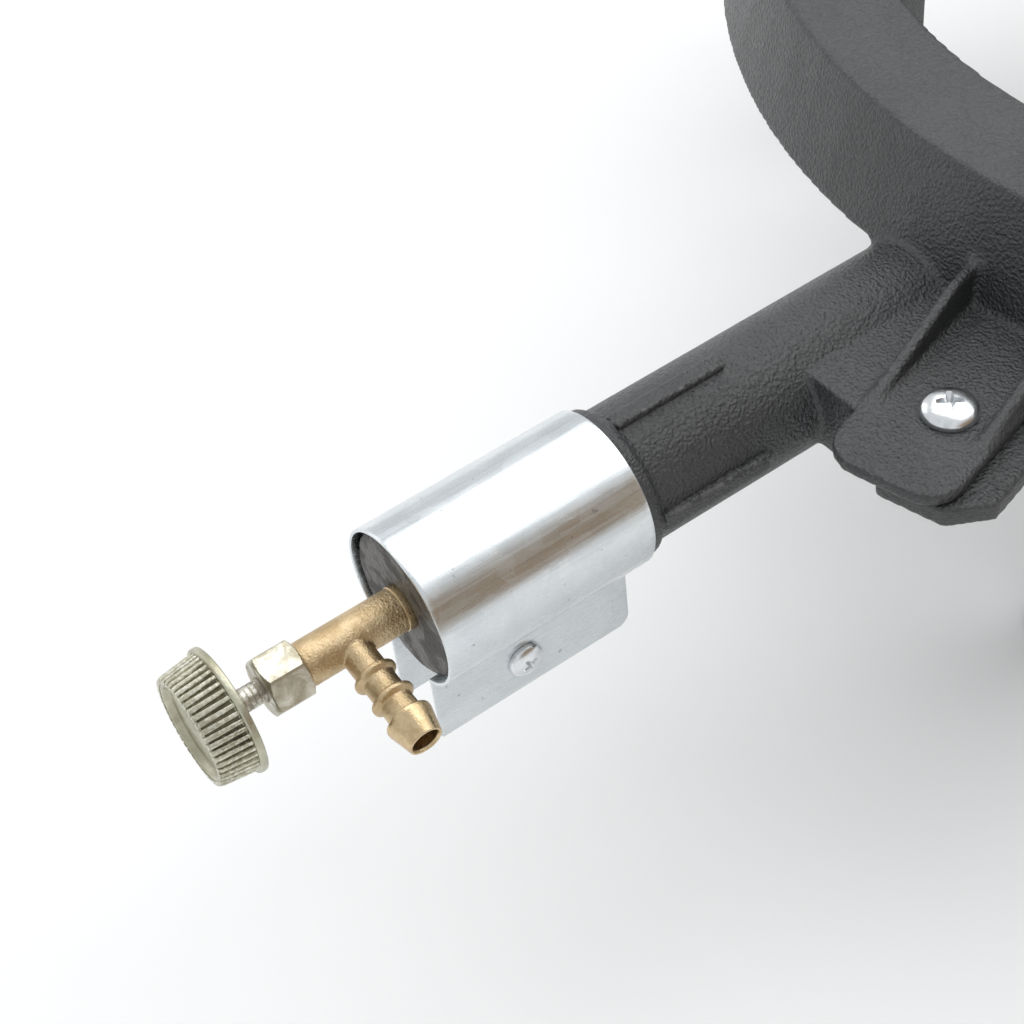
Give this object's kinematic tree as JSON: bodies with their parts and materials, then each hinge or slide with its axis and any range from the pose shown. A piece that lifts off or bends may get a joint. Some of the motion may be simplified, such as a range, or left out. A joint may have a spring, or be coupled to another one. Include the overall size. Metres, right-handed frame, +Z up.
{
  "type": "cast iron gas ring stove",
  "caption": "Cast-iron gas ring stove on bolted legs: mixing tube with sliding air shutter, brass needle valve with hose tail and fluted knob, central ported burner cap.",
  "frame": {"origin": "middle of the object's box in plan, on the ground under the feet", "axes": "+Z up; the mixing tube and valve point to -Y; the hose tail points to +X"},
  "size_m": [0.4306, 0.5571, 0.1315],
  "materials": {
    "black_cast_iron": "black painted sand casting",
    "burner_cast_iron": "bare dark cast iron",
    "zinc_sheet": "zinc-plated sheet",
    "zinc_steel": "bright zinc plate",
    "brass": "blasted brass",
    "nickel_brass": "dull nickel plate",
    "spindle_steel": "turned steel",
    "yellow_zinc": "pale yellow zinc plate",
    "packing": "graphite packing"
  },
  "bodies": {
    "stove": {"stove_frame": "black_cast_iron", "burner_cap": "burner_cast_iron", "cap_screw": "zinc_steel", "leg_1": "black_cast_iron", "leg_2": "black_cast_iron", "leg_3": "black_cast_iron", "leg_4": "black_cast_iron", "leg_screw_1": "zinc_steel", "leg_screw_2": "zinc_steel", "leg_screw_3": "zinc_steel", "leg_screw_4": "zinc_steel", "leg_washer_1": "zinc_steel", "leg_washer_2": "zinc_steel", "leg_washer_3": "zinc_steel", "leg_washer_4": "zinc_steel", "leg_nut_1": "zinc_steel", "leg_nut_2": "zinc_steel", "leg_nut_3": "zinc_steel", "leg_nut_4": "zinc_steel", "valve_body": "brass", "gas_jet": "brass", "gland_packing": "packing", "packing_washer": "zinc_steel", "gland_nut": "nickel_brass"},
    "spindle": {"valve_spindle": "spindle_steel"},
    "knob": {"control_knob": "yellow_zinc", "knob_screw": "zinc_steel"},
    "shutter": {"air_shutter": "zinc_sheet", "shutter_clamp_screw": "zinc_steel", "shutter_clamp_washer": "zinc_steel", "shutter_clamp_nut": "zinc_steel"}
  },
  "joints": [
    {"name": "spindle_travel", "type": "slide", "parent": "stove", "child": "spindle", "axis": [0, -1, 0], "range_m": [0, 0.002]},
    {"name": "knob_turn", "type": "hinge", "parent": "spindle", "child": "knob", "pos_m": [0, -0.26955, 0.095], "axis": [0, -1, 0], "range_deg": [0, 720]},
    {"name": "air_shutter_slide", "type": "slide", "parent": "stove", "child": "shutter", "axis": [0, 1, 0], "range_m": [0, 0.024]}
  ],
  "couplings": [
    {"joint": "spindle_travel", "follows": "knob_turn", "m_per_rad": 0.00015915}
  ]
}
